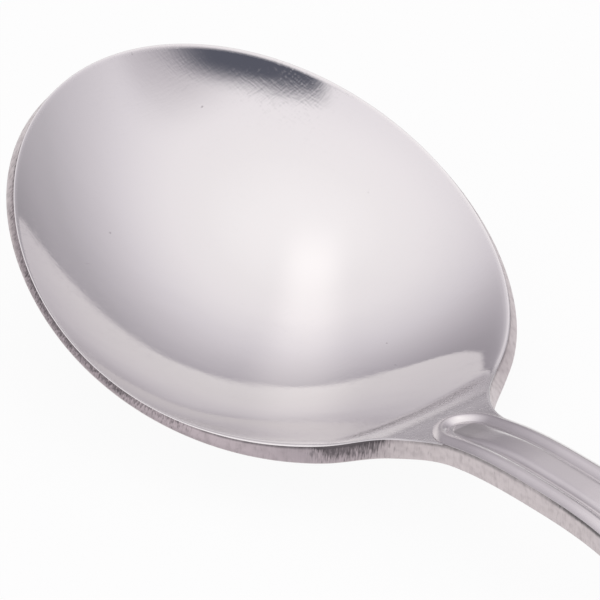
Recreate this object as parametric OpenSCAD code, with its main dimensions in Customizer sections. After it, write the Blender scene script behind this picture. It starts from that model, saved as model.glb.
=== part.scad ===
// Soup spoon of stamped stainless steel, lying on a table.
// The bowl is a dished oval, the neck lifts the handle over an arch,
// and a raised thread border with a centre panel runs along the handle.
// +X runs along the handle, +Y across it and +Z up from the table.

/* [Spoon] */
// Length from the tip of the bowl to the end of the handle
overall_length = 160; // [140:1:200]

/* [Bowl] */
// Length of the rim from the tip to the neck
bowl_length = 50; // [42:0.5:60]
// Width of the rim at the middle of the bowl
bowl_width = 42.4; // [34:0.1:52]
// Depth of the dish below the rim at the middle
bowl_depth = 7.9; // [6:0.1:12]
// Angle at which the rim climbs towards the tip
rim_tilt = 15.1; // [4:0.1:18]
// How far the rim sags between its two ends
rim_sag = 2.5; // [0:0.1:4]
// Sheet thickness at the bottom of the bowl
bowl_floor = 1.1; // [0.8:0.1:2]
// Width of the cut edge at the tip
tip_edge = 2.1; // [1:0.1:2.6]
// Width of the cut edge at the sides of the bowl
side_edge = 0.85; // [0.7:0.05:2]
// Angle at which the cut edge of the bowl leans outwards
edge_angle = 35; // [0:1:45]

/* [Neck] */
// Width of the neck and of the narrow part of the handle
neck_width = 6.5; // [5:0.1:9]
// Depth of the neck's root below the rim at the middle of the bowl
neck_dip = 3; // [1:0.1:4]
// Height of the upright edge of the neck
neck_edge = 2.25; // [1.5:0.05:4]
// How much thicker the neck is in the middle than at its edge
neck_swell = 0.3; // [0:0.05:1]

/* [Handle] */
// Height of the handle's arch above the table
crest_height = 14.4; // [11:0.1:20]
// Greatest width of the handle, near its end
handle_width = 18; // [12:0.5:26]
// Thickness of the handle at its end
end_thickness = 1.9; // [1.2:0.1:3]
// Length of the rounded end of the handle
end_round = 15; // [8:0.5:20]

/* [Thread border] */
// Width of the raised thread
thread_width = 1.6; // [1:0.05:1.9]
// Height of the raised thread above the handle's face
thread_height = 0.5; // [0.2:0.05:1]
// Length of the arch that closes the thread at the bowl
thread_arch = 4; // [3:0.1:6]
// Distance from the bowl to the top of that arch
thread_setback = 2; // [1.5:0.1:4]
// Width of the groove between the thread and the panel
groove_width = 0.2; // [0.1:0.05:0.4]
// Height of the centre panel above the handle's face
panel_height = 0.45; // [0.2:0.05:1]

/* [Hidden] */

// Half sizes and places along the spoon, counted from the middle of the bowl
bowl_a = bowl_length / 2;
bowl_b = bowl_width / 2;
neck_half = neck_width / 2;
end_half = handle_width / 2;
end_x = overall_length - bowl_a - tip_edge * sin(edge_angle);
handle_length = end_x - bowl_a;
middle_x = (end_x - bowl_a - tip_edge * sin(edge_angle)) / 2;

// The shoulder joins bowl and neck, and the face is flat across from its middle on
shoulder_length = thread_setback + thread_arch;
neck_x = bowl_a + shoulder_length;
blend_from_share = 0.84;
blend_from = bowl_a * blend_from_share;
blend_to = bowl_a + thread_setback;
thick_share = 1.64;
thick_x = bowl_a * thick_share;

// Where the neck ends, where the stem ends and where the handle widens
crest_share = 0.28;
crest_x = bowl_a + handle_length * crest_share;
stem_share = 0.72;
stem_x = bowl_a + handle_length * stem_share;
widen_share = 0.16;
widen_x = bowl_a + handle_length * widen_share;
round_x = end_x - end_round;

// Shape of the dish: how the tilt fades to the ends, how the depth leans to the tip
// and how full the floor is
tilt_fade_share = 0.26;
lean_share = 0.4;
fullness_share = 0.12;
// Shape of the rim: how the oval narrows towards the neck and towards both ends
taper_share = 0.025;
pinch_share = 0.048;
// How wide the rim rolls off towards the neck, and where that starts
roll_share = 0.07;
roll_from_share = 0.32;
roll_from = bowl_a * roll_from_share;
// Where the rim leaves its oval and runs on to the neck
flare_from_share = 0.845;
flare_from = bowl_a * flare_from_share;

// Heights of the arch's control points, as shares of the climb and of the fall
climb_shares = [-0.6, 0.355, 0.075, 0.625, 0.845, 1.04];
fall_shares = [0.97, 0.87, 0.705, 0.505, 0.3, 0.12, 0, 0, 0, 0];
arch_step = handle_length / 12;
arch_start = bowl_a - arch_step;

// Counts of stations along the spoon and of points across it
bowl_stations = 44;
shoulder_stations = 6;
neck_stations = 12;
stem_stations = 20;
round_stations = 12;
arch_stations = 6;
across = 16;
thread_points = 8;
first_angle = 3;

// Smooth step from 0 to 1, level and without curvature at both ends
function smooth(s) =
    let (c = min(1, max(0, s)))
    c * c * c * (c * (6 * c - 15) + 10);

// Half width of the oval and dish of the bowl, measured from the rim at the middle
function rim_line(x) =
    let (u = x / bowl_a)
    rim_sag * u * u - x * tan(rim_tilt) * (1 - tilt_fade_share * u * u);
function side(x) =
    let (u = x / bowl_a)
    bowl_b * (1 - taper_share * u - pinch_share * u * u);
function dish(x, y) =
    let (
        q = pow(x / bowl_a, 2) + pow(y / side(x), 2),
        inside = max(0, 1 - q),
        roll = roll_share * smooth((x - roll_from) / (bowl_a - roll_from)),
        fall = inside > 0 ? inside * inside / (inside + roll) : 0
    )
    rim_line(x) - bowl_depth * (1 - lean_share * x / bowl_a) * fall * (1 + fullness_share * q);

// Thickness of the steel at the middle and at the edge of each section
function thinning(x) = smooth((x - thick_x) / (round_x - thick_x));
function middle_thickness(x) =
    x <= thick_x
    ? bowl_floor + (neck_edge + neck_swell - bowl_floor) * smooth(x / thick_x)
    : neck_edge + neck_swell + (end_thickness - neck_edge - neck_swell) * thinning(x);
function edge_thickness(x) =
    x <= 0
    ? side_edge + (tip_edge - side_edge) * pow(x / bowl_a, 2)
    : x <= thick_x
    ? side_edge + (neck_edge - side_edge) * smooth(x / thick_x)
    : neck_edge + (end_thickness - neck_edge) * thinning(x);
function edge_lean(x) =
    edge_angle * (1 - smooth((x - blend_from) / (neck_x - blend_from)));

// Stations along the spoon, closer together where its outline turns
bowl_xs = [for (i = [0:bowl_stations])
    -bowl_a * cos(first_angle + (180 - first_angle) * i / bowl_stations)];
shoulder_xs = [for (i = [1:shoulder_stations])
    bowl_a + shoulder_length * i / shoulder_stations];
neck_xs = [for (i = [0:neck_stations]) neck_x + (crest_x - neck_x) * i / neck_stations];
stem_xs = [for (i = [0:stem_stations]) crest_x + (stem_x - crest_x) * i / stem_stations];
round_xs = [for (i = [0:round_stations])
    round_x + end_round * sin((90 - first_angle) * i / round_stations)];
end_xs = concat([for (i = [0:arch_stations - 1])
    stem_x + (round_x - stem_x) * i / arch_stations], round_xs);

// The spoon lies on the table: the lowest point under the bowl sets the rim's height
rim_z = -min([for (x = bowl_xs) dish(x, 0) - middle_thickness(x)]);
neck_z = rim_z - neck_dip;

// Face of the neck and handle, a smooth curve through the arch's control points
arch_heights = concat(
    [for (s = climb_shares) neck_z + (crest_height - neck_z) * s],
    [for (s = fall_shares) end_thickness + (crest_height - end_thickness) * s]);
function arch_z(x) =
    let (
        p = max(0, (x - arch_start) / arch_step),
        i = min(floor(p), len(arch_heights) - 4),
        t = p - i,
        h = arch_heights
    )
    (pow(1 - t, 3) * h[i] + (3 * t * t * t - 6 * t * t + 4) * h[i + 1]
        + (3 * t * t - 3 * t * t * t + 3 * t + 1) * h[i + 2] + t * t * t * h[i + 3]) / 6;

// Half the width of the spoon: the oval of the bowl, then a parabola that leaves the oval
// and meets the side of the neck without a kink, and the rounded end
slope_reach = bowl_a / 5000;
function bowl_half(x) = abs(x) >= bowl_a ? 0 : side(x) * sqrt(1 - pow(x / bowl_a, 2));
flare_rise = bowl_half(flare_from) - neck_half;
flare_slope = (bowl_half(flare_from - slope_reach) - bowl_half(flare_from + slope_reach))
    / (2 * slope_reach);
flare_length = 2 * flare_rise / flare_slope;
function flare(x) = flare_rise * pow(max(0, 1 - (x - flare_from) / flare_length), 2);
function handle_half(x) =
    x <= round_x
    ? neck_half + (end_half - neck_half) * smooth((x - widen_x) / (round_x - widen_x))
    : end_half * sqrt(max(0, 1 - pow((x - round_x) / end_round, 2)));
function half_width(x) = x <= flare_from ? bowl_half(x) : handle_half(x) + flare(x);

// Outward direction of the outline at a station
function outline_normal(x) =
    let (
        rise = (half_width(x + slope_reach) - half_width(x - slope_reach)) / (2 * slope_reach),
        size = sqrt(1 + rise * rise)
    )
    [-rise / size, 1 / size];

// A point on the upper face, where v runs from -1 to 1 across the spoon
function face_z(x, y) =
    x <= blend_from
    ? rim_z + dish(x, y)
    : let (m = smooth((x - blend_from) / (blend_to - blend_from)))
        m >= 1 ? arch_z(x) : (1 - m) * (rim_z + dish(x, y)) + m * arch_z(x);
function upper(x, v) =
    let (y = half_width(x) * v)
    [x, y, face_z(x, y)];

// The point below it on the back, pushed out towards the edge by the edge's lean
function lower(x, v) =
    let (
        p = upper(x, v),
        n = outline_normal(x),
        u = min(0, x / bowl_a),
        out = edge_thickness(x) * sin(edge_lean(x)) * (u * u + (1 - u * u) * v * v),
        edge_drop = edge_thickness(x) * cos(edge_lean(x))
    )
    [
        p.x + n.x * out,
        p.y + n.y * v * out,
        p.z - middle_thickness(x) * (1 - v * v) - edge_drop * v * v
    ];
function shares_across() = [for (j = [0:across]) -cos(180 * j / across)];
function section(x) = concat(
    [for (v = shares_across()) upper(x, v)],
    [for (v = shares_across()) lower(x, -v)]);

// A closed skin over a row of rings, each ring with as many points above as below
module loft(rings) {
    n = len(rings[0]);
    last = (len(rings) - 1) * n;
    sides = [for (i = [0:len(rings) - 2], j = [0:n - 1])
        let (a = i * n + j, b = i * n + (j + 1) % n)
        each [[a, b, b + n], [a, b + n, a + n]]];
    caps = [for (j = [0:n / 2 - 2])
        let (k = n - 1 - j)
        each [
            [j, k, k - 1],
            [j, k - 1, j + 1],
            [last + j, last + k - 1, last + k],
            [last + j, last + j + 1, last + k - 1]
        ]];
    polyhedron(points = [for (r = rings) each r], faces = concat(sides, caps));
}

// A closed skin over rings that meet end to end
module closed_loft(rings) {
    n = len(rings[0]);
    m = len(rings);
    polyhedron(
        points = [for (r = rings) each r],
        faces = [for (i = [0:m - 1], j = [0:n - 1])
            let (
                a = i * n + j,
                b = i * n + (j + 1) % n,
                c = ((i + 1) % m) * n + (j + 1) % n,
                d = ((i + 1) % m) * n + j
            )
            each [[a, b, c], [a, c, d]]]);
}

// Height of the flat face under the border, along the same stations as the solids below
face_xs = concat(
    [for (x = shoulder_xs) if (x >= blend_to) x],
    [for (i = [1:neck_stations]) neck_xs[i]],
    [for (i = [1:stem_stations]) stem_xs[i]],
    [for (i = [1:len(end_xs) - 1]) end_xs[i]]);
face_table = [for (x = face_xs) [x, arch_z(x)]];
function face_height(x) = lookup(x, face_table);

// Outline that the border follows: an arch at the bowl, then the edge of the handle
arch_points = [for (i = [0:arch_stations])
    let (angle = 90 * i / arch_stations)
    [neck_x - thread_arch * cos(angle), handle_half(neck_x) * sin(angle)]];
edge_points = [for (i = [1:len(face_xs) - 1])
    if (face_xs[i] > neck_x) [face_xs[i], handle_half(face_xs[i])]];
half_outline = concat(arch_points, edge_points, [[end_x, 0]]);
turns = len(half_outline) - 1;
outline = concat(half_outline,
    [for (i = [turns - 1:-1:1]) [half_outline[i].x, -half_outline[i].y]]);
function inward(i) =
    let (
        n = len(outline),
        d = outline[(i + 1) % n] - outline[(i + n - 1) % n]
    )
    [d.y, -d.x] / norm(d);
function inset_point(i, depth) = outline[i] + inward(i) * depth;

// The raised thread, a half-round bead whose outer side stands on the handle's edge
function thread_ring(i) = [for (j = [0:thread_points])
    let (
        angle = 180 * j / thread_points,
        p = inset_point(i, thread_width * (1 - cos(angle)) / 2)
    )
    [p.x, p.y, face_height(p.x) + thread_height * sin(angle)]];

// The panel inside the thread, with bevelled sides and a gently crowned top
panel_inset = thread_width + groove_width;
panel_shares = [-1, -0.8, -0.4, 0, 0.4, 0.8, 1];
crown_shares = [0.4, 0.85, 0.97, 1, 0.97, 0.85, 0.4];
function panel_ring(i) =
    let (p = inset_point(i, panel_inset))
    concat(
        [for (k = [0:len(panel_shares) - 1])
            [p.x, p.y * panel_shares[k], face_height(p.x) + panel_height * crown_shares[k]]],
        [for (s = panel_shares) [p.x, -p.y * s, face_height(p.x)]]);

module place() {
    translate([-middle_x, 0, 0]) children();
}

// Dished bowl with its shoulder, up to the start of the neck
module bowl() {
    color([0.78, 0.78, 0.8]) place() loft([for (x = concat(bowl_xs, shoulder_xs)) section(x)]);
}

// Neck from the shoulder to the crest of the arch
module neck() {
    color([0.74, 0.73, 0.74]) place() loft([for (x = neck_xs) section(x)]);
}

// Stem from the crest down to the broad end
module stem() {
    color([0.74, 0.73, 0.74]) place() loft([for (x = stem_xs) section(x)]);
}

// Broad rounded end of the handle, flat underneath where it rests on the table
module handle_end() {
    color([0.74, 0.73, 0.74]) place() loft([for (x = end_xs) section(x)]);
}

// Raised thread that follows the edge of the handle all the way round
module thread_border() {
    color([0.82, 0.81, 0.82]) place() closed_loft([for (i = [0:len(outline) - 1]) thread_ring(i)]);
}

// Long raised panel between the two sides of the thread
module centre_panel() {
    color([0.84, 0.83, 0.84]) place() loft([for (i = [1:turns - 1]) panel_ring(i)]);
}

bowl();
neck();
stem();
handle_end();
thread_border();
centre_panel();
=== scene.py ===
"""A soup spoon of stamped stainless steel, lying on a pale studio table."""

import math
import operator
from types import SimpleNamespace

import bmesh
import bpy
from mathutils import Matrix, Vector


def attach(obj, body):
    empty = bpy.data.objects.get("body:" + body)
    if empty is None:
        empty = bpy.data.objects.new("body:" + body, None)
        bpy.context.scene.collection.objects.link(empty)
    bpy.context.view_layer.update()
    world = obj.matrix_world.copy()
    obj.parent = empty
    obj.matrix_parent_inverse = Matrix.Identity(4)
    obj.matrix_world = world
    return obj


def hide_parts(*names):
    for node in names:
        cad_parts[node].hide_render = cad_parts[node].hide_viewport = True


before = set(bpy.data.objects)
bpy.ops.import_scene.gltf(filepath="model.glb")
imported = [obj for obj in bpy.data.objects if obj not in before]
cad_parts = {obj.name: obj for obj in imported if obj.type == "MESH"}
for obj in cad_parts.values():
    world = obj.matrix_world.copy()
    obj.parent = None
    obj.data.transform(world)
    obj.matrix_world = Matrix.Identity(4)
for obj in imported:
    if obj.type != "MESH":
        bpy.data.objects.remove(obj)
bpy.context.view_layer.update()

MM = 0.001

# Sizes of the spoon in millimetres and degrees. The part's source has the same ones,
# apart from the lips and the heel, which are sharp there
SIZES = {
    "Overall Length": 160.0,
    "Bowl Length": 50.0,
    "Bowl Width": 42.4,
    "Bowl Depth": 7.9,
    "Rim Tilt": 15.1,
    "Rim Sag": 2.5,
    "Bowl Floor": 1.1,
    "Tip Edge": 2.1,
    "Side Edge": 0.85,
    "Edge Angle": 35.0,
    "Neck Width": 6.5,
    "Neck Dip": 3.0,
    "Neck Edge": 2.25,
    "Neck Swell": 0.3,
    "Crest Height": 14.4,
    "Handle Width": 18.0,
    "End Thickness": 1.9,
    "End Round": 15.0,
    "Thread Arch": 4.0,
    "Thread Setback": 2.0,
    "Bowl Lip": 0.34,
    "Handle Lip": 0.22,
    "Heel": 0.12,
}

# The thread and the panel, both a little lower than the solids of the part's source
THREAD_SIZES = {"Thread Width": 1.6, "Thread Height": 0.42}
GROOVE_WIDTH = 0.2
PANEL_HEIGHT = 0.36
# The panel climbs out of the handle's face over its ramp, from a share of its height,
# keeps a share of it at its shoulders and goes down into the face
PANEL_RAMP = 12.0
PANEL_START_SHARE = 0.1
PANEL_SHOULDER_SHARE = 0.05
PANEL_CROWN_POWER = 6
PANEL_ROOT = 0.2

# Shares that shape the dish, the lip, the shoulder and the arch of the handle
BLEND_FROM_SHARE = 0.84
FLARE_FROM_SHARE = 0.845
THICK_SHARE = 1.64
CREST_SHARE = 0.28
STEM_SHARE = 0.72
WIDEN_SHARE = 0.16
TILT_FADE_SHARE = 0.26
LEAN_SHARE = 0.4
FULLNESS_SHARE = 0.12
ROLL_SHARE = 0.07
LIP_DROP_SHARE = 0.3
ROLL_FROM_SHARE = 0.32
TAPER_SHARE = 0.025
PINCH_SHARE = 0.048
CLIMB_SHARES = (-0.6, 0.355, 0.075, 0.625, 0.845, 1.04)
FALL_SHARES = (0.97, 0.87, 0.705, 0.505, 0.3, 0.12)
# Stretches between the control points of the arch, the reach in millimetres over which
# a slope is taken, and a number that keeps a division from failing
ARCH_STEPS = 12
SLOPE_REACH = 0.02
TINY = 1e-6

# The rings of the blank fan out from a line inside the bowl
FAN_SHARE = 0.3
BACK_SHARE = 0.985

# Steps in which the lowest point of the bowl is looked for
FLOOR_STEPS = 400


# The formulas work on plain numbers and on fields of a node tree alike.
# These sums for plain numbers go by the names of the Math node
NUMBER_SUMS = {
    "POWER": math.pow,
    "MAXIMUM": max,
    "MINIMUM": min,
    "ABSOLUTE": abs,
    "SQRT": math.sqrt,
    "SINE": math.sin,
    "COSINE": math.cos,
    "TANGENT": math.tan,
    "GREATER_THAN": operator.gt,
}


def worked_out(kind, *terms):
    """The result of one sum: a number, or a Math node where a field takes part."""
    tree = next((t.tree for t in terms if isinstance(t, Field)), None)
    if tree is None:
        return NUMBER_SUMS[kind](*terms)
    node = tree.nodes.new("ShaderNodeMath")
    node.operation = kind
    for place, term in zip(node.inputs, terms):
        if isinstance(term, Field):
            tree.links.new(term.socket, place)
        else:
            place.default_value = term
    return Field(tree, node.outputs[0])


class Field:
    """A value that a node tree works out for every place on a mesh or in the light."""

    def __init__(self, tree, socket):
        self.tree = tree
        self.socket = socket

    def __add__(self, other):
        return worked_out("ADD", self, other)

    def __radd__(self, other):
        return worked_out("ADD", other, self)

    def __sub__(self, other):
        return worked_out("SUBTRACT", self, other)

    def __rsub__(self, other):
        return worked_out("SUBTRACT", other, self)

    def __mul__(self, other):
        return worked_out("MULTIPLY", self, other)

    def __rmul__(self, other):
        return worked_out("MULTIPLY", other, self)

    def __truediv__(self, other):
        return worked_out("DIVIDE", self, other)


def larger(a, b):
    return worked_out("MAXIMUM", a, b)


def smaller(a, b):
    return worked_out("MINIMUM", a, b)


def root(a):
    return worked_out("SQRT", a)


def power(a, exponent):
    return worked_out("POWER", a, exponent)


def clamped(a):
    return smaller(larger(a, 0.0), 1.0)


def eased(value, start, end, low=0.0, high=1.0):
    """Goes smoothly from low at start to high at end, without a kink at either."""
    c = clamped((value - start) / (end - start))
    return low + (high - low) * (c * c * c * (c * (c * 6.0 - 15.0) + 10.0))


def mixed(p, q, share):
    return [a + (b - a) * share for a, b in zip(p, q)]


def bent(p, q, r, share):
    """A point on the curve that leaves p towards q and arrives at r from q."""
    return mixed(mixed(p, q, share), mixed(q, r, share), share)


def named(values):
    """The values under the names that the formulas use."""
    return SimpleNamespace(**{name.lower().replace(" ", "_"): value for name, value in values.items()})


# The spoon's own shapes, in millimetres from the middle of the bowl
def add_places(s):
    """Adds the half sizes and the places along the spoon that follow from its sizes."""
    degree = math.pi / 180
    s.bowl_a = s.bowl_length / 2
    s.bowl_b = s.bowl_width / 2
    s.neck_half = s.neck_width / 2
    s.end_half = s.handle_width / 2
    s.edge_lean = s.edge_angle * degree
    s.tilt_slope = worked_out("TANGENT", s.rim_tilt * degree)
    tip_reach = s.tip_edge * worked_out("SINE", s.edge_lean)
    s.end_x = s.overall_length - s.bowl_a - tip_reach
    s.handle_length = s.end_x - s.bowl_a
    s.middle_x = (s.end_x - s.bowl_a - tip_reach) / 2
    s.neck_x = s.bowl_a + s.thread_setback + s.thread_arch
    s.roll_from = s.bowl_a * ROLL_FROM_SHARE
    s.blend_from = s.bowl_a * BLEND_FROM_SHARE
    s.blend_to = s.bowl_a + s.thread_setback
    s.thick_x = s.bowl_a * THICK_SHARE
    s.crest_x = s.bowl_a + s.handle_length * CREST_SHARE
    s.stem_x = s.bowl_a + s.handle_length * STEM_SHARE
    s.widen_x = s.bowl_a + s.handle_length * WIDEN_SHARE
    s.round_x = s.end_x - s.end_round
    s.arch_step = s.handle_length / ARCH_STEPS
    s.arch_start = s.bowl_a - s.arch_step
    s.flare_from = s.bowl_a * FLARE_FROM_SHARE
    s.flare_rise = oval(s, s.flare_from) - s.neck_half
    drop = oval(s, s.flare_from - SLOPE_REACH) - oval(s, s.flare_from + SLOPE_REACH)
    s.flare_length = s.flare_rise * 2.0 / (drop / (2 * SLOPE_REACH))


def oval_side(s, x):
    """Half width of the oval before its ends close, narrower towards neck and tip."""
    u = x / s.bowl_a
    return s.bowl_b * (1.0 - u * TAPER_SHARE - u * u * PINCH_SHARE)


def oval(s, x):
    """Half width of the rim's oval."""
    u = x / s.bowl_a
    return oval_side(s, x) * root(larger(1.0 - u * u, 0.0))


def dish(s, x, y):
    """Height of the dish above the middle of the rim."""
    u = x / s.bowl_a
    v = y / oval_side(s, x)
    q = u * u + v * v
    rim = s.rim_sag * u * u - x * s.tilt_slope * (1.0 - u * u * TILT_FADE_SHARE)
    inside = larger(1.0 - q, 0.0)
    roll = eased(x, s.roll_from, s.bowl_a, 0.0, ROLL_SHARE)
    fall = inside * inside / (inside + roll + TINY)
    return rim - s.bowl_depth * (1.0 - u * LEAN_SHARE) * fall * (1.0 + q * FULLNESS_SHARE)


def arch_height(s, x):
    """Height of the handle's face above the table, a smooth curve over its control points."""
    neck_z = s.rim_height - s.neck_dip
    rises = [neck_z + (s.crest_height - neck_z) * share - s.end_thickness for share in CLIMB_SHARES]
    rises += [(s.crest_height - s.end_thickness) * share for share in FALL_SHARES]
    place = (x - s.arch_start) / s.arch_step
    height = s.end_thickness
    for number, rise in enumerate(rises):
        away = worked_out("ABSOLUTE", place - (number - 1.0))
        bump = (power(larger(2.0 - away, 0.0), 3) - 4.0 * power(larger(1.0 - away, 0.0), 3)) / 6.0
        height = height + rise * bump
    return height


def face_height(s, x, y):
    """Height of the upper face, from the dish over the shoulder to the handle."""
    share = eased(x, s.blend_from, s.blend_to)
    return (s.rim_height + dish(s, x, y)) * (1.0 - share) + arch_height(s, x) * share


def handle_half(s, x):
    past = larger(x - s.round_x, 0.0) / s.end_round
    widening = eased(x, s.widen_x, s.round_x, s.neck_half, s.end_half)
    return widening * root(larger(1.0 - past * past, 0.0))


def flare(s, x):
    """How much wider the shoulder is than the neck: a parabola that leaves the rim's oval."""
    left = 1.0 - clamped((x - s.flare_from) / s.flare_length)
    return s.flare_rise * left * left


def half_width(s, x):
    past = worked_out("GREATER_THAN", x, s.flare_from)
    return oval(s, x) * (1.0 - past) + (handle_half(s, x) + flare(s, x)) * past


def outward(s, x):
    """Direction that points out of the outline, in plan."""
    ahead = half_width(s, x + SLOPE_REACH)
    behind = half_width(s, x - SLOPE_REACH)
    run = (behind * behind - ahead * ahead) / (4 * SLOPE_REACH)
    rise = half_width(s, x)
    length = root(run * run + rise * rise)
    return run / length, rise / length


def middle_thickness(s, x):
    neck = s.neck_edge + s.neck_swell
    return (eased(x, 0.0, s.thick_x, s.bowl_floor, neck)
            + eased(x, s.thick_x, s.round_x, 0.0, s.end_thickness - neck))


def edge_thickness(s, x):
    u = smaller(x, 0.0) / s.bowl_a
    return (s.side_edge + (s.tip_edge - s.side_edge) * u * u
            + eased(x, 0.0, s.thick_x, 0.0, s.neck_edge - s.side_edge)
            + eased(x, s.thick_x, s.round_x, 0.0, s.end_thickness - s.neck_edge))


def blank_point(s, x, row):
    """A point of the blank's skin on the side of +Y.

    Rows run from 0 in the middle of the face to 1 at the lip, 2 at the cut edge,
    3 at the heel, 4 on the back and 5 in the middle of the back."""
    half = half_width(s, x)
    out_x, out_y = outward(s, x)
    foot = smaller(x, 0.0) * FAN_SHARE + larger(x, 0.0)
    lean = s.edge_lean * (1.0 - eased(x, s.blend_from, s.neck_x))
    edge = edge_thickness(s, x)
    lip = eased(x, s.blend_from, s.neck_x, s.bowl_lip, s.handle_lip)
    down = [out_x * worked_out("SINE", lean), out_y * worked_out("SINE", lean),
            worked_out("COSINE", lean) * -1.0]

    share = clamped(row)
    upper_x = foot + (x - out_x * lip - foot) * share
    upper_y = (half - out_y * lip) * share
    upper = [upper_x, upper_y, face_height(s, upper_x, upper_y)]
    corner = [x, half, face_height(s, x, half)]
    lip_end = [c + d * lip * LIP_DROP_SHARE for c, d in zip(corner, down)]
    heel_start = [c + d * (edge - s.heel) for c, d in zip(corner, down)]
    heel = [c + d * edge for c, d in zip(corner, down)]

    back_share = clamped(5.0 - row) * BACK_SHARE
    bulge = back_share * back_share
    back_x = foot + (x - foot) * back_share
    back_y = half * back_share
    back = [
        back_x + down[0] * edge * bulge,
        back_y + down[1] * edge * bulge,
        face_height(s, back_x, back_y) + down[2] * edge * bulge
        - middle_thickness(s, x) * (1.0 - bulge),
    ]

    over_lip = bent(upper, corner, lip_end, clamped(row - 1.0))
    over_edge = mixed(lip_end, heel_start, clamped(row - 2.0))
    over_back = bent(heel_start, heel, back, clamped(row - 3.0))
    past_lip = worked_out("GREATER_THAN", row, 2.0)
    past_edge = worked_out("GREATER_THAN", row, 3.0)
    return mixed(mixed(over_lip, over_edge, past_lip), over_back, past_edge)


def spoon_sizes():
    """The sizes as plain numbers, with the height of the rim over the table."""
    s = named(SIZES)
    add_places(s)
    stations = [s.bowl_a * (2 * i / FLOOR_STEPS - 1) for i in range(FLOOR_STEPS + 1)]
    s.rim_height = -min(dish(s, x, 0.0) - middle_thickness(s, x) for x in stations)
    return s


spoon = spoon_sizes()
TREE_SIZES = dict(SIZES, **{"Rim Height": spoon.rim_height})


# Node trees and meshes
def placed(x, y, z):
    """From the spoon's own millimetres to the part's frame in metres."""
    return (x - spoon.middle_x) * MM, y * MM, z * MM


def new_tree(name, sizes):
    tree = bpy.data.node_groups.new(name, "GeometryNodeTree")
    tree.interface.new_socket("Geometry", in_out="INPUT", socket_type="NodeSocketGeometry")
    for size, value in sizes.items():
        socket = tree.interface.new_socket(size, in_out="INPUT", socket_type="NodeSocketFloat")
        socket.default_value = value
    tree.interface.new_socket("Geometry", in_out="OUTPUT", socket_type="NodeSocketGeometry")
    return tree, tree.nodes.new("NodeGroupInput"), tree.nodes.new("NodeGroupOutput")


def chained(tree, start, *nodes):
    """Links the geometry of each node to the next and gives back the last output."""
    flow = start
    for node in nodes:
        tree.links.new(flow, node.inputs["Geometry"])
        flow = node.outputs["Geometry"]
    return flow


def stored(tree, name, field):
    node = tree.nodes.new("GeometryNodeStoreNamedAttribute")
    node.data_type = "FLOAT"
    node.domain = "POINT"
    node.inputs["Name"].default_value = name
    tree.links.new(field.socket, node.inputs["Value"])
    return node


def read_back(tree, name):
    node = tree.nodes.new("GeometryNodeInputNamedAttribute")
    node.data_type = "FLOAT"
    node.inputs["Name"].default_value = name
    return Field(tree, node.outputs["Attribute"])


def with_material(tree, material, selection=None):
    node = tree.nodes.new("GeometryNodeSetMaterial")
    node.inputs["Material"].default_value = material
    if selection is not None:
        tree.links.new(selection.socket, node.inputs["Selection"])
    return node


def grown(name, mesh, tree, sizes):
    """Runs a tree on a mesh and gives back the plain mesh that comes out."""
    carrier = bpy.data.objects.new(name, mesh)
    bpy.context.scene.collection.objects.link(carrier)
    modifier = carrier.modifiers.new("Shape", "NODES")
    modifier.node_group = tree
    for item in tree.interface.items_tree:
        if item.in_out == "INPUT" and item.name in sizes:
            modifier[item.identifier] = sizes[item.name]
    depsgraph = bpy.context.evaluated_depsgraph_get()
    result = bpy.data.meshes.new_from_object(
        carrier.evaluated_get(depsgraph), preserve_all_data_layers=True, depsgraph=depsgraph)
    carrier.modifiers.remove(modifier)
    bpy.data.objects.remove(carrier)
    return result


def shown(name, mesh, node):
    piece = bpy.data.objects.new(name, mesh)
    bpy.context.scene.collection.objects.link(piece)
    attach(piece, "root")
    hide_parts(node)


# Finishes
STEEL = (0.745, 0.73, 0.735)
SATIN_STEEL = (0.775, 0.75, 0.755)
GROUND_STEEL = (0.64, 0.575, 0.585)
# The dark tone of the edge's stains, and of its painted shade line under the lip
STAIN_AND_SHADE = (0.15, 0.137, 0.142)
PIT = (0.3, 0.28, 0.29)


def new_group(name, inputs, outputs):
    """A shader group with named inputs, each given with its default, and named outputs."""
    group = bpy.data.node_groups.new(name, "ShaderNodeTree")
    for label, value in inputs.items():
        kind = "NodeSocketFloat" if isinstance(value, float) else "NodeSocketVector"
        group.interface.new_socket(label, in_out="INPUT", socket_type=kind).default_value = value
    for label in outputs:
        group.interface.new_socket(label, in_out="OUTPUT", socket_type="NodeSocketFloat")
    return group, group.nodes.new("NodeGroupInput"), group.nodes.new("NodeGroupOutput")


def vector_of(tree, *values):
    """One vector socket from three fields or numbers."""
    node = tree.nodes.new("ShaderNodeCombineXYZ")
    for socket, value in zip(node.inputs, values):
        if isinstance(value, Field):
            tree.links.new(value.socket, socket)
        else:
            socket.default_value = value
    return node.outputs[0]


def noise_of(tree, place, scale, detail):
    node = tree.nodes.new("ShaderNodeTexNoise")
    node.inputs["Detail"].default_value = detail
    tree.links.new(place, node.inputs["Vector"])
    if isinstance(scale, Field):
        tree.links.new(scale.socket, node.inputs["Scale"])
    else:
        node.inputs["Scale"].default_value = scale
    return Field(tree, node.outputs["Fac"])


# The level around which noise lies
NOISE_MIDDLE = 0.5
# Patches of deeper marks per metre, the noise levels between which they grow deeper,
# and how deep the marks are elsewhere
WEAR_PATCHES = 70.0
WEAR_LEVELS = (0.35, 0.65)
LEAST_DEPTH = 0.3
MARK_DETAIL, WEAR_DETAIL = 2.0, 1.0
# The noise level that a stain has to pass where its share is nothing,
# and how far that level sinks for a full cover
STAIN_LEVEL, STAIN_SPAN = 0.75, 0.5
STAIN_DETAIL = 6.0


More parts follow.
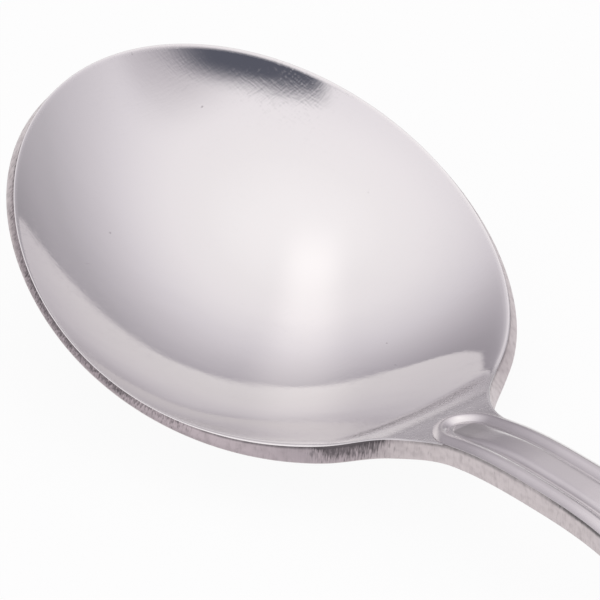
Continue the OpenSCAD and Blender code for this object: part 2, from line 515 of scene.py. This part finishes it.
def polish_marks_group():
    """Fine parallel marks of a polishing wheel, deeper in some places than in others."""
    group, inlet, outlet = new_group(
        "Polish marks",
        {"Place": (0.0, 0.0, 0.0), "Turn": 0.0, "Marks Per Metre": 2000.0, "Stretch": 12.0},
        ("Height", "Wear"))
    marks_per_metre = Field(group, inlet.outputs["Marks Per Metre"])
    along = marks_per_metre / Field(group, inlet.outputs["Stretch"])
    turn = group.nodes.new("ShaderNodeVectorRotate")
    turn.rotation_type = "Z_AXIS"
    turn.invert = True
    group.links.new(inlet.outputs["Place"], turn.inputs["Vector"])
    group.links.new(inlet.outputs["Turn"], turn.inputs["Angle"])
    stretch = group.nodes.new("ShaderNodeVectorMath")
    stretch.operation = "MULTIPLY"
    group.links.new(turn.outputs[0], stretch.inputs[0])
    group.links.new(vector_of(group, along, marks_per_metre, along), stretch.inputs[1])
    marks = noise_of(group, stretch.outputs[0], 1.0, MARK_DETAIL)
    wear = eased(noise_of(group, inlet.outputs["Place"], WEAR_PATCHES, WEAR_DETAIL), *WEAR_LEVELS)
    depth = wear * (1.0 - LEAST_DEPTH) + LEAST_DEPTH
    group.links.new(((marks - NOISE_MIDDLE) * depth).socket, outlet.inputs["Height"])
    group.links.new(wear.socket, outlet.inputs["Wear"])
    return group


def stains_group():
    """Blotches with ragged borders that cover about a share of the surface."""
    group, inlet, outlet = new_group(
        "Stains", {"Place": (0.0, 0.0, 0.0), "Blotches": 1.0, "Share": 0.3, "Softness": 0.1}, ("Mask",))
    blotches, share, softness = (
        Field(group, inlet.outputs[name]) for name in ("Blotches", "Share", "Softness"))
    level = STAIN_LEVEL - share * STAIN_SPAN
    speckle = noise_of(group, inlet.outputs["Place"], blotches, STAIN_DETAIL)
    mask = eased(speckle, level - softness, level + softness)
    group.links.new(mask.socket, outlet.inputs["Mask"])
    return group


POLISH_MARKS = polish_marks_group()
STAINS = stains_group()


def material_of(name):
    material = bpy.data.materials.new(name)
    material.use_nodes = True
    tree = material.node_tree
    return material, tree, tree.nodes["Principled BSDF"]


def grouped(tree, group, place, values):
    """A group placed in a material, with its own values."""
    node = tree.nodes.new("ShaderNodeGroup")
    node.node_tree = group
    tree.links.new(place, node.inputs["Place"])
    for name, value in values.items():
        if isinstance(value, Field):
            tree.links.new(value.socket, node.inputs[name])
        else:
            node.inputs[name].default_value = value
    return {socket.name: Field(tree, socket) for socket in node.outputs}


def object_place(tree):
    return tree.nodes.new("ShaderNodeTexCoord").outputs["Object"]


def attribute_of(tree, name):
    node = tree.nodes.new("ShaderNodeAttribute")
    node.attribute_name = name
    return Field(tree, node.outputs["Fac"])


def lined_up(tree, socket, direction):
    """How far a vector points along a direction."""
    node = tree.nodes.new("ShaderNodeVectorMath")
    node.operation = "DOT_PRODUCT"
    tree.links.new(socket, node.inputs[0])
    node.inputs[1].default_value = direction
    return Field(tree, node.outputs["Value"])


def mixed_colour(tree, factor, first, second):
    """A colour between two, each given as a socket or as its three tones."""
    node = tree.nodes.new("ShaderNodeMix")
    node.data_type = "RGBA"
    for name, colour in (("A", first), ("B", second)):
        if isinstance(colour, tuple):
            node.inputs[name].default_value = (*colour, 1.0)
        else:
            tree.links.new(colour, node.inputs[name])
    tree.links.new(factor.socket, node.inputs["Factor"])
    return node.outputs["Result"]


def coloured(tree, shader, light, dark, mask):
    """Feeds the shader a colour that goes from light to dark with a mask."""
    tree.links.new(mixed_colour(tree, mask, light, dark), shader.inputs["Base Color"])


def embossed(tree, shader, height, depth):
    """Feeds the shader a bump of a depth in millimetres."""
    bump = tree.nodes.new("ShaderNodeBump")
    bump.inputs["Strength"].default_value = 1.0
    bump.inputs["Distance"].default_value = depth * MM
    tree.links.new(height.socket, bump.inputs["Height"])
    tree.links.new(bump.outputs["Normal"], shader.inputs["Normal"])


# The bowl's polish: wheel marks in two directions and slow waves, the share of each in the relief,
# the depth of the relief in millimetres, and pits
LENGTHWISE_MARKS = {"Turn": math.radians(23), "Marks Per Metre": 7000.0, "Stretch": 6.0}
CROSSWISE_MARKS = {"Turn": math.radians(85), "Marks Per Metre": 6000.0, "Stretch": 6.0}
SLOW_WAVES = {"Turn": math.radians(40), "Marks Per Metre": 160.0, "Stretch": 2.0}
LENGTHWISE_SHARE, CROSSWISE_SHARE, WAVE_SHARE = 0.3, 0.25, 5.0
MIRROR_RELIEF = 0.01
PITS = {"Blotches": 620.0, "Share": 0.0, "Softness": 0.03}
# Its roughness where it is clean, and what is added by scuffs above a height, by the neck,
# from a lead in millimetres before the shoulder on, and by the lip
MIRROR_ROUGHNESS = 0.015
SCUFF_ROUGHNESS, SCUFF_HEIGHTS = 0.13, (0.02, 0.22)
NECK_ROUGHNESS, NECK_LEAD = 0.2, 1.5
LIP_ROUGHNESS, LIP_ROWS = 0.14, (0.98, 1.1)


def mirror_polish():
    """The bowl: a bright polish with crossed wheel marks, slight waves and a few pits."""
    material, tree, shader = material_of("bowl_polish")
    place = object_place(tree)
    lengthwise = grouped(tree, POLISH_MARKS, place, LENGTHWISE_MARKS)["Height"]
    crosswise = grouped(tree, POLISH_MARKS, place, CROSSWISE_MARKS)["Height"]
    waves = grouped(tree, POLISH_MARKS, place, SLOW_WAVES)["Height"]
    pits = grouped(tree, STAINS, place, PITS)
    shader.inputs["Metallic"].default_value = 1.0
    coloured(tree, shader, STEEL, PIT, pits["Mask"])
    station = attribute_of(tree, "station")
    by_neck = eased(station, spoon.blend_from - NECK_LEAD, spoon.bowl_a) * NECK_ROUGHNESS
    on_lip = eased(attribute_of(tree, "row"), *LIP_ROWS) * LIP_ROUGHNESS
    scuffs = eased(lengthwise + crosswise, *SCUFF_HEIGHTS) * SCUFF_ROUGHNESS
    roughness = scuffs + MIRROR_ROUGHNESS + by_neck + on_lip
    tree.links.new(roughness.socket, shader.inputs["Roughness"])
    height = lengthwise * LENGTHWISE_SHARE + crosswise * CROSSWISE_SHARE + waves * WAVE_SHARE
    embossed(tree, shader, height, MIRROR_RELIEF)
    return material


# The handle's polish: marks along it, slightly turned on the thread and the panel,
# the depth of the relief in millimetres, and the roughness with what wear adds to it
HANDLE_MARKS = {"Turn": 0.0, "Marks Per Metre": 4000.0, "Stretch": 30.0}
THREAD_MARKS = dict(HANDLE_MARKS, Turn=math.radians(8))
SATIN_RELIEF = 0.008
SATIN_ROUGHNESS, WEAR_ROUGHNESS = 0.17, 0.06
# Faint tarnish, and how much of the light it takes
TARNISH = {"Blotches": 240.0, "Share": 0.35, "Softness": 0.2}
TARNISH_SHARE = 0.05
# Painted shade on the panel in the hollow behind the thread's arch: how much of the light it takes, and,
# in millimetres, where it starts and fades along the spoon and where it ends towards the thread
PAINTED_SHADE_SHARE = 0.32
# The darker steel that both the tarnish and the painted shade go towards
SHADE_AND_TARNISH_STEEL = tuple(tone * (1.0 - PAINTED_SHADE_SHARE) for tone in SATIN_STEEL)
PAINTED_SHADE_START, PAINTED_SHADE_FADE, PAINTED_SHADE_SIDE = (29.3, 29.8), (34.0, 30.5), (1.45, 1.05)


def painted_hollow_shade(tree, place):
    """How much painted shade lies at a place on the panel, behind the thread's arch."""
    x = lined_up(tree, place, (1, 0, 0)) / MM + spoon.middle_x
    beside = worked_out("ABSOLUTE", lined_up(tree, place, (0, 1, 0))) / MM
    return eased(x, *PAINTED_SHADE_START) * eased(x, *PAINTED_SHADE_FADE) * eased(beside, *PAINTED_SHADE_SIDE)


def satin_polish(name, marks_given, hollow=False):
    """The handle: a softer polish with fine marks along one direction, and painted shade in a hollow."""
    material, tree, shader = material_of(name)
    place = object_place(tree)
    marks = grouped(tree, POLISH_MARKS, place, marks_given)
    tarnish = grouped(tree, STAINS, place, TARNISH)
    shader.inputs["Metallic"].default_value = 1.0
    darker = tarnish["Mask"] * (TARNISH_SHARE / PAINTED_SHADE_SHARE)
    # Painted shade: the steel is darkened on the panel just behind the thread's arch
    if hollow:
        darker = clamped(darker + painted_hollow_shade(tree, place))
    coloured(tree, shader, SATIN_STEEL, SHADE_AND_TARNISH_STEEL, darker)
    roughness = marks["Wear"] * WEAR_ROUGHNESS + SATIN_ROUGHNESS
    tree.links.new(roughness.socket, shader.inputs["Roughness"])
    embossed(tree, shader, marks["Height"], SATIN_RELIEF)
    return material


# Stained stretches of the ground edge: middle and half length in millimetres along the rim
# from the tip, minus on the side of -Y, and how dark the stretch is
STAINED_STRETCHES = (
    (-35.5, 9.5, 0.5),
    (-64.5, 4.0, 0.6),
    (-21.0, 9.0, 0.3),
    (-46.0, 5.0, 0.34),
    (-91.0, 4.0, 0.1),
    (30.0, 16.0, 0.25),
)

# Stretches with a painted shade line in the crease under the lip, given in the same way
SHADE_LINE_STRETCHES = (
    (-58.0, 10.0, 0.75),
    (-77.0, 9.0, 0.6),
    (-99.0, 14.0, 1.0),
    (60.0, 12.0, 0.4),
    (92.0, 20.0, 0.6),
)

# A stretch is clean beyond the first and full within the second share of its half length
STRETCH_FADE = (1.25, 0.35)
# Grinding lines per millimetre along the edge, how often they break across it, and their detail
LINES_PER_MM, LINE_BREAKS, LINE_DETAIL = 6.0, 0.8, 3.0
# Stains break more often across the edge, come from another slice of the noise,
# and get thinner towards the row at which they end
STAIN_BREAKS, STAIN_SLICE, STAIN_END_ROW, STAIN_SOFTNESS = 1.8, 3.0, 3.4, 0.2
# The share that is stained everywhere, how dark a stain is at least, and what a stretch adds
STRAY_SHARE, STAIN_LEAST, STAIN_GAIN = 0.05, 0.55, 0.5
# The painted shade line lies between these rows
SHADE_LINE_ROWS = (2.25, 2.02)
# A fine mottle all over, the shares of mottle and lines in the colour, the roughness,
# and the depth of the relief in millimetres
MOTTLE = {"Blotches": 1500.0, "Share": 0.4, "Softness": 0.2}
MOTTLE_SHARE, LINE_SHARE = 0.14, 0.3
GROUND_ROUGHNESS, MOTTLE_ROUGHNESS = 0.34, 0.1
GROUND_RELIEF, MOTTLE_RELIEF_SHARE = 0.012, 0.5


def on_stretches(along, stretches):
    """How much of a mark the stretches put on a place along the rim."""
    share = 0.0
    for middle, half_length, strength in stretches:
        away = worked_out("ABSOLUTE", along - middle) / half_length
        share = share + eased(away, *STRETCH_FADE) * strength
    return share


def ground_finish():
    """The cut edge: dull, with grinding lines across it, dark stains on some stretches and a painted shade
    line under the lip on others.
    """
    material, tree, shader = material_of("ground_edge")
    along = attribute_of(tree, "along")
    row = attribute_of(tree, "row")
    share = on_stretches(along, STAINED_STRETCHES) + STRAY_SHARE
    line_place = vector_of(tree, along * LINES_PER_MM, row * LINE_BREAKS, 0.0)
    lines = noise_of(tree, line_place, 1.0, LINE_DETAIL)
    stain_place = vector_of(tree, along * LINES_PER_MM, row * STAIN_BREAKS, STAIN_SLICE)
    stains = grouped(tree, STAINS, stain_place, {
        "Blotches": 1.0, "Share": share * (STAIN_END_ROW - row), "Softness": STAIN_SOFTNESS})["Mask"]
    mottle = grouped(tree, STAINS, object_place(tree), MOTTLE)["Mask"]
    # Painted shade: a dark line along the crease under the lip, on some stretches
    shade_line = eased(row, *SHADE_LINE_ROWS) * on_stretches(along, SHADE_LINE_STRETCHES)
    shader.inputs["Metallic"].default_value = 1.0
    mask = (stains * (STAIN_LEAST + share * STAIN_GAIN) + mottle * MOTTLE_SHARE
            + (lines - NOISE_MIDDLE) * LINE_SHARE + shade_line)
    coloured(tree, shader, GROUND_STEEL, STAIN_AND_SHADE, clamped(mask))
    roughness = mottle * MOTTLE_ROUGHNESS + GROUND_ROUGHNESS
    tree.links.new(roughness.socket, shader.inputs["Roughness"])
    embossed(tree, shader, lines - mottle * MOTTLE_RELIEF_SHARE, GROUND_RELIEF)
    return material


bowl_polish = mirror_polish()
ground_edge = ground_finish()
handle_polish = satin_polish("handle_polish", HANDLE_MARKS)
thread_polish = satin_polish("thread_polish", THREAD_MARKS, hollow=True)


# The blank: bowl, neck and handle from one skin.
# Its steps along the spoon, and across the face, the lip, the cut edge, the heel and the back
BOWL_STEPS, SHOULDER_STEPS, NECK_STEPS, STEM_STEPS, END_STEPS, ROUND_STEPS = 160, 20, 88, 60, 26, 40
ROW_STEPS = (44, 8, 3, 5, 30)
# Points of the two sides that lie closer together than this, in millimetres, become one
MERGE_REACH = 0.004
# The ground edge ends on the row in the middle of the heel
GROUND_END_ROW = 3.5


def unrolled_blank():
    """A flat sheet for each side, whose points hold the station, the row and the side,
    and have the length along the rim as an attribute."""
    stations = [-spoon.bowl_a * math.cos(math.pi * i / BOWL_STEPS) for i in range(BOWL_STEPS + 1)]
    stretches = ((spoon.neck_x, SHOULDER_STEPS), (spoon.crest_x, NECK_STEPS),
                 (spoon.stem_x, STEM_STEPS), (spoon.round_x, END_STEPS))
    for last, steps in stretches:
        first = stations[-1]
        stations += [first + (last - first) * (i + 1) / steps for i in range(steps)]
    stations += [spoon.round_x + spoon.end_round * math.sin(math.pi / 2 * (i + 1) / ROUND_STEPS)
                 for i in range(ROUND_STEPS)]
    rows = [0.0]
    for steps in ROW_STEPS:
        start = rows[-1]
        rows += [start + (i + 1) / steps for i in range(steps)]
    width = len(rows)
    sheet = len(stations) * width
    points = [(x, row, side) for side in (1, -1) for x in stations for row in rows]
    faces = []
    for i in range(len(stations) - 1):
        for j in range(width - 1):
            quad = (i * width + j, (i + 1) * width + j, (i + 1) * width + j + 1, i * width + j + 1)
            faces.append(quad)
            faces.append(tuple(sheet + k for k in reversed(quad)))
    mesh = bpy.data.meshes.new("unrolled_blank")
    mesh.from_pydata(points, [], faces)
    lengths = [0.0]
    for before, after in zip(stations, stations[1:]):
        step = math.hypot(after - before, half_width(spoon, after) - half_width(spoon, before))
        lengths.append(lengths[-1] + step)
    along = mesh.attributes.new("along", "FLOAT", "POINT")
    along.data.foreach_set("value", [side * length for side in (1, -1) for length in lengths for _ in rows])
    return mesh


def blank_tree():
    tree, inlet, outlet = new_tree("Spoon blank", TREE_SIZES)
    s = named({name: Field(tree, inlet.outputs[name]) for name in TREE_SIZES})
    add_places(s)
    position = tree.nodes.new("GeometryNodeInputPosition")
    parts = tree.nodes.new("ShaderNodeSeparateXYZ")
    tree.links.new(position.outputs[0], parts.inputs[0])
    station, row, side = (Field(tree, socket) for socket in parts.outputs)
    x, y, z = blank_point(s, station, row)
    place = vector_of(tree, (x - s.middle_x) * MM, y * side * MM, z * MM)

    keep_row = stored(tree, "row", row)
    keep_station = stored(tree, "station", station)
    bend = tree.nodes.new("GeometryNodeSetPosition")
    tree.links.new(place, bend.inputs["Position"])
    close = tree.nodes.new("GeometryNodeMergeByDistance")
    close.inputs["Distance"].default_value = MERGE_REACH * MM
    soften = tree.nodes.new("GeometryNodeSetShadeSmooth")
    realize = tree.nodes.new("GeometryNodeRealizeInstances")
    row_field = read_back(tree, "row")
    past_neck = worked_out("GREATER_THAN", read_back(tree, "station"), spoon.neck_x)
    # Past the neck the lip is ground too
    on_edge = (worked_out("GREATER_THAN", row_field, 2.0 - past_neck)
               - worked_out("GREATER_THAN", row_field, GROUND_END_ROW))
    flow = chained(tree, inlet.outputs["Geometry"], keep_row, keep_station, bend, close, soften,
                   realize, with_material(tree, bowl_polish),
                   with_material(tree, handle_polish, past_neck),
                   with_material(tree, ground_edge, on_edge))
    tree.links.new(flow, outlet.inputs["Geometry"])
    return tree


def cut_piece(skin, low, high):
    """The stretch of the skin between two stations, closed by flat ends that stay hidden."""
    edges = [(limit - spoon.middle_x) * MM for limit in (low, high)]
    mesh = skin.copy()
    work = bmesh.new()
    work.from_mesh(mesh)
    outside = [f for f in work.faces if not edges[0] < f.calc_center_median().x < edges[1]]
    bmesh.ops.delete(work, geom=outside, context="FACES")
    rim = [e for e in work.edges if e.is_boundary]
    caps = bmesh.ops.holes_fill(work, edges=rim, sides=0)["faces"]
    for cap in caps:
        cap.smooth = False
    bmesh.ops.recalc_face_normals(work, faces=work.faces)
    work.to_mesh(mesh)
    work.free()
    held = mesh.attributes["skin_normal"]
    normals = [None] * len(mesh.loops)
    for face in mesh.polygons:
        for loop in face.loop_indices:
            vertex = mesh.loops[loop].vertex_index
            normals[loop] = held.data[vertex].vector.copy() if face.use_smooth else face.normal.copy()
    mesh.attributes.remove(held)
    mesh.normals_split_custom_set(normals)
    return mesh


skin = grown("blank", unrolled_blank(), blank_tree(), TREE_SIZES)
held = skin.attributes.new("skin_normal", "FLOAT_VECTOR", "POINT")
for vertex, item in zip(skin.vertices, held.data):
    item.vector = vertex.normal
far = spoon.overall_length
shown("bowl_dish", cut_piece(skin, -far, spoon.neck_x), "bowl")
shown("neck_bar", cut_piece(skin, spoon.neck_x, spoon.crest_x), "neck")
shown("stem_bar", cut_piece(skin, spoon.crest_x, spoon.stem_x), "stem")
shown("end_plate", cut_piece(skin, spoon.stem_x, far), "handle_end")


# The thread border and the panel inside it, with the points along their loops and across them
ARCH_POINTS, SIDE_POINTS, ROUND_POINTS = 24, 160, 40
BEAD_POINTS = 28
PANEL_POINTS = 24


def border_outline(inset):
    """Points of the border's loop in plan, moved in from the edge of the handle,
    and how many of them lie on the side of +Y."""
    half = []
    for i in range(ARCH_POINTS):
        turn = math.pi / 2 * i / ARCH_POINTS
        half.append((spoon.neck_x - spoon.thread_arch * math.cos(turn),
                     spoon.neck_half * math.sin(turn)))
    for i in range(SIDE_POINTS):
        x = spoon.neck_x + (spoon.round_x - spoon.neck_x) * i / SIDE_POINTS
        half.append((x, handle_half(spoon, x)))
    for i in range(ROUND_POINTS + 1):
        x = spoon.round_x + spoon.end_round * math.sin(math.pi / 2 * i / ROUND_POINTS)
        half.append((x, handle_half(spoon, min(x, spoon.end_x))))
    half[-1] = (spoon.end_x, 0.0)
    loop = half + [(x, -y) for x, y in half[-2:0:-1]]
    moved = []
    for i, (x, y) in enumerate(loop):
        before, after = loop[i - 1], loop[(i + 1) % len(loop)]
        along = Vector((after[0] - before[0], after[1] - before[1])).normalized()
        moved.append((x + along.y * inset, y - along.x * inset))
    return moved, len(half)


def thread_tree():
    """Sweeps a low arch along the thread's path. Its mirrored lower half stays inside the handle."""
    tree, inlet, outlet = new_tree("Thread along the edge", THREAD_SIZES)
    width, height = (Field(tree, inlet.outputs[name]) for name in THREAD_SIZES)
    path = tree.nodes.new("GeometryNodeMeshToCurve")
    tree.links.new(inlet.outputs["Geometry"], path.inputs["Mesh"])
    upright = tree.nodes.new("GeometryNodeSetCurveNormal")
    upright.mode = "Z_UP"
    tree.links.new(path.outputs["Curve"], upright.inputs["Curve"])
    bead = tree.nodes.new("GeometryNodeCurvePrimitiveCircle")
    bead.inputs["Resolution"].default_value = BEAD_POINTS
    bead.inputs["Radius"].default_value = 1.0
    place = tree.nodes.new("GeometryNodeInputPosition")
    parts = tree.nodes.new("ShaderNodeSeparateXYZ")
    tree.links.new(place.outputs[0], parts.inputs[0])
    across, up = (Field(tree, parts.outputs[axis]) for axis in "XY")
    low_arch = up * worked_out("ABSOLUTE", up)
    flatten = tree.nodes.new("GeometryNodeSetPosition")
    tree.links.new(bead.outputs["Curve"], flatten.inputs["Geometry"])
    profile = vector_of(tree, across * width * (MM / 2), low_arch * height * MM, 0.0)
    tree.links.new(profile, flatten.inputs["Position"])
    sweep = tree.nodes.new("GeometryNodeCurveToMesh")
    tree.links.new(upright.outputs["Curve"], sweep.inputs["Curve"])
    tree.links.new(flatten.outputs["Geometry"], sweep.inputs["Profile Curve"])
    soften = tree.nodes.new("GeometryNodeSetShadeSmooth")
    realize = tree.nodes.new("GeometryNodeRealizeInstances")
    flow = chained(tree, sweep.outputs["Mesh"], soften, realize, with_material(tree, thread_polish))
    tree.links.new(flow, outlet.inputs["Geometry"])
    return tree


def thread_path():
    loop, _ = border_outline(THREAD_SIZES["Thread Width"] / 2)
    points = [placed(x, y, arch_height(spoon, x)) for x, y in loop]
    mesh = bpy.data.meshes.new("thread_path")
    mesh.from_pydata(points, [(i, (i + 1) % len(points)) for i in range(len(points))], [])
    return mesh


def outward_faces(mesh):
    work = bmesh.new()
    work.from_mesh(mesh)
    bmesh.ops.recalc_face_normals(work, faces=work.faces)
    work.to_mesh(mesh)
    work.free()
    return mesh


def panel_mesh():
    """The panel: a low crown across, with rounded shoulders that drop into the groove."""
    loop, last = border_outline(THREAD_SIZES["Thread Width"] + GROOVE_WIDTH)
    start = loop[0][0]
    shares = [-math.cos(math.pi * j / PANEL_POINTS) for j in range(PANEL_POINTS + 1)]
    points, faces = [], []
    for x, y in loop[1:last - 1]:
        base = arch_height(spoon, x)
        top = PANEL_HEIGHT * eased(x, start, start + PANEL_RAMP, PANEL_START_SHARE, 1.0)
        for share in shares:
            fullness = 1 - share ** PANEL_CROWN_POWER
            crown = top * (PANEL_SHOULDER_SHARE + (1 - PANEL_SHOULDER_SHARE) * fullness)
            points.append(placed(x, y * share, base + crown))
        for share in reversed(shares):
            points.append(placed(x, y * share, base - PANEL_ROOT))
    ring = 2 * len(shares)
    rings = len(points) // ring
    for i in range(rings - 1):
        for j in range(ring):
            a, b = i * ring + j, i * ring + (j + 1) % ring
            faces.append((a, b, b + ring, a + ring))
    faces.append(tuple(range(ring)))
    faces.append(tuple(range(len(points) - ring, len(points))))
    mesh = bpy.data.meshes.new("panel")
    mesh.from_pydata(points, [], faces)
    outward_faces(mesh)
    mesh.shade_smooth()
    mesh.materials.append(thread_polish)
    return mesh


thread = outward_faces(grown("thread", thread_path(), thread_tree(), THREAD_SIZES))
shown("thread_bead", thread, "thread_border")
shown("panel_crown", panel_mesh(), "centre_panel")


# Table, light and camera.
# The table reaches so many metres to each side and lies so many millimetres under the spoon.
# A share of it is plain white to the camera and in the steel, and the rest takes light and shadow
TABLE_REACH = 2.0
TABLE_GAP = 0.02
TABLE_WHITE_SHARE = 0.92
TABLE_COLOUR, TABLE_ROUGHNESS = (0.9, 0.9, 0.9, 1), 0.9


def table_top():
    mesh = bpy.data.meshes.new("table_top")
    corners = ((-1, -1), (1, -1), (1, 1), (-1, 1))
    points = [(x * TABLE_REACH, y * TABLE_REACH, -TABLE_GAP * MM) for x, y in corners]
    mesh.from_pydata(points, [], [(0, 1, 2, 3)])
    material, tree, shader = material_of("table_white")
    shader.inputs["Base Color"].default_value = TABLE_COLOUR
    shader.inputs["Roughness"].default_value = TABLE_ROUGHNESS
    shader.inputs["Specular IOR Level"].default_value = 0.0
    path = tree.nodes.new("ShaderNodeLightPath")
    to_camera, to_steel = (
        Field(tree, path.outputs[name]) for name in ("Is Camera Ray", "Is Glossy Ray"))
    seen = larger(to_camera, to_steel)
    white = tree.nodes.new("ShaderNodeEmission")
    mix = tree.nodes.new("ShaderNodeMixShader")
    tree.links.new((seen * TABLE_WHITE_SHARE).socket, mix.inputs[0])
    tree.links.new(shader.outputs[0], mix.inputs[1])
    tree.links.new(white.outputs[0], mix.inputs[2])
    tree.links.new(mix.outputs[0], tree.nodes["Material Output"].inputs[0])
    mesh.materials.append(material)
    table = bpy.data.objects.new("table_top", mesh)
    bpy.context.scene.collection.objects.link(table)


# The camera sees a white backdrop, and the steel sees a light tent around the spoon.
# Its brightness by the sine of the height above the horizon
WHITE = (1.0, 1.0, 1.0)
TENT_STOPS = (
    (0.0, (0.40, 0.38, 0.405)),
    (0.21, (0.53, 0.50, 0.535)),
    (0.31, (0.565, 0.535, 0.57)),
    (0.41, (0.645, 0.61, 0.65)),
    (0.545, (0.765, 0.725, 0.765)),
    (0.645, (0.87, 0.83, 0.87)),
    (0.745, (0.975, 0.935, 0.965)),
    (0.83, (1.055, 1.015, 1.035)),
    (0.915, (1.10, 1.065, 1.075)),
    (1.0, (1.185, 1.155, 1.16)),
)
# Near the horizon the tent is brighter on the side of +X than on the side of -X,
# and it is a little brighter towards the front
HANDLE_SIDE_GAIN, TIP_SIDE_GAIN = 0.25, 0.17
FRONT_AZIMUTH, FRONT_GAIN = 5, 0.08
# A bright strip runs from behind the spoon up over it and fades in front
STRIP_AZIMUTH, STRIP_OFFSET, STRIP_REACH = -134, 0.115, 0.2
STRIP_COLOUR = (0.16, 0.155, 0.145)
STRIP_BACK_AZIMUTH, STRIP_FADE = -128, (-0.2, 0.3)
# The dark opening for the lens, beside the camera, with one hazy end.
# Each pair gives where the dark starts and where it is full
LENS_AZIMUTH, LENS_ELEVATION, LENS_TILT = 64, 41, 0.12
LENS_TOP, LENS_BOTTOM = (0.21, 0.065), (-0.2, -0.1)
LENS_ENDS = (-0.39, -0.26), (0.66, 0.13)
LENS_COLOUR = (0.125, 0.13, 0.165)
# The tent is dimmer beside the opening, in an oval whose middle height is given by its sine,
# and which fades between two shares of its half sizes
DIM_AZIMUTH, DIM_SINE, DIM_GAIN = 92, 0.616, -0.25
DIM_WIDTH, DIM_HEIGHT, DIM_FADE = 0.42, 0.2, (1.2, 0.3)


def way_to(azimuth, elevation):
    """The direction at an azimuth and an elevation in degrees, with azimuth 0 towards -Y."""
    a, e = math.radians(azimuth), math.radians(elevation)
    return Vector((math.sin(a) * math.cos(e), -math.cos(a) * math.cos(e), math.sin(e)))


def side_light(tree, way, rise):
    """The light that changes along the spoon near the horizon, and towards the front."""
    lengthwise = lined_up(tree, way, (1, 0, 0))
    sideways = larger(lengthwise, 0.0) * HANDLE_SIDE_GAIN + smaller(lengthwise, 0.0) * TIP_SIDE_GAIN
    front = larger(lined_up(tree, way, way_to(FRONT_AZIMUTH, 0)), 0.0) * FRONT_GAIN
    return sideways * (1.0 - clamped(rise)) + front


def on_strip(tree, way):
    """How far a direction lies on the bright strip."""
    away = lined_up(tree, way, way_to(STRIP_AZIMUTH + 90, 0)) - STRIP_OFFSET
    behind = lined_up(tree, way, way_to(STRIP_BACK_AZIMUTH, 0))
    return eased(worked_out("ABSOLUTE", away), STRIP_REACH, 0.0) * eased(behind, *STRIP_FADE)


def dim_oval(tree, way, rise):
    """The light that is missing beside the opening."""
    beside = lined_up(tree, way, way_to(DIM_AZIMUTH + 90, 0)) / DIM_WIDTH
    above = (rise - DIM_SINE) / DIM_HEIGHT
    away = root(beside * beside + above * above)
    ahead = worked_out("GREATER_THAN", lined_up(tree, way, way_to(DIM_AZIMUTH, 0)), 0.0)
    return eased(away, *DIM_FADE) * ahead * DIM_GAIN


def in_opening(tree, way):
    """How far a direction lies in the dark opening."""
    across = lined_up(tree, way, way_to(LENS_AZIMUTH + 90, 0))
    up = lined_up(tree, way, way_to(LENS_AZIMUTH, LENS_ELEVATION + 90)) + across * LENS_TILT
    ahead = worked_out("GREATER_THAN", lined_up(tree, way, way_to(LENS_AZIMUTH, LENS_ELEVATION)), 0.0)
    inside = eased(up, *LENS_TOP) * eased(up, *LENS_BOTTOM) * ahead
    for end in LENS_ENDS:
        inside = inside * eased(across, *end)
    return inside


def light_tent():
    world = bpy.data.worlds.new("light_tent")
    bpy.context.scene.world = world
    world.use_nodes = True
    tree = world.node_tree
    backdrop = tree.nodes["Background"]
    way = tree.nodes.new("ShaderNodeTexCoord").outputs["Generated"]
    ramp = tree.nodes.new("ShaderNodeValToRGB")
    stops = ramp.color_ramp.elements
    ready = len(stops)
    for number, (place, colour) in enumerate(TENT_STOPS):
        stop = stops[number] if number < ready else stops.new(place)
        stop.position = place
        stop.color = (*colour, 1)
    rise = lined_up(tree, way, (0, 0, 1))
    tree.links.new(rise.socket, ramp.inputs[0])

    gain = side_light(tree, way, rise) + dim_oval(tree, way, rise)
    strip = on_strip(tree, way)
    brighter = tree.nodes.new("ShaderNodeVectorMath")
    tree.links.new(ramp.outputs["Color"], brighter.inputs[0])
    gains = [gain + strip * tone for tone in STRIP_COLOUR]
    tree.links.new(vector_of(tree, *gains), brighter.inputs[1])

    tent = mixed_colour(tree, in_opening(tree, way), brighter.outputs[0], LENS_COLOUR)
    path = tree.nodes.new("ShaderNodeLightPath")
    to_camera = Field(tree, path.outputs["Is Camera Ray"])
    tree.links.new(mixed_colour(tree, to_camera, tent, WHITE), backdrop.inputs["Color"])


# The camera: where its right and its back point, its place in the spoon's millimetres
# with the height over the middle of the rim, and its lens and sensor in millimetres
CAMERA_RIGHT = (0.59019, 0.80697, 0.02157)
CAMERA_BACK = (0.63373, -0.47955, 0.60697)
CAMERA_X, CAMERA_Y, CAMERA_OVER_RIM = 381.81, -284.73, 359.1
CAMERA_LENS, CAMERA_SENSOR = 397.9, 36.0


def camera_at_photo():
    """The camera's place and turn, measured on the photograph."""
    right = Vector(CAMERA_RIGHT).normalized()
    back = Vector(CAMERA_BACK).normalized()
    up = back.cross(right).normalized()
    right = up.cross(back)
    data = bpy.data.cameras.new("photo_camera")
    data.sensor_width = CAMERA_SENSOR
    data.lens = CAMERA_LENS
    camera = bpy.data.objects.new("photo_camera", data)
    turn = Matrix((right, up, back)).transposed().to_4x4()
    place = Vector(placed(CAMERA_X, CAMERA_Y, CAMERA_OVER_RIM + spoon.rim_height))
    camera.matrix_world = Matrix.Translation(place) @ turn
    bpy.context.scene.collection.objects.link(camera)
    bpy.context.scene.camera = camera


table_top()
light_tent()
camera_at_photo()
bpy.context.scene.view_settings.view_transform = "Standard"
# Light that runs along the wall of the bowl is reflected many times
bpy.context.scene.cycles.glossy_bounces = 12
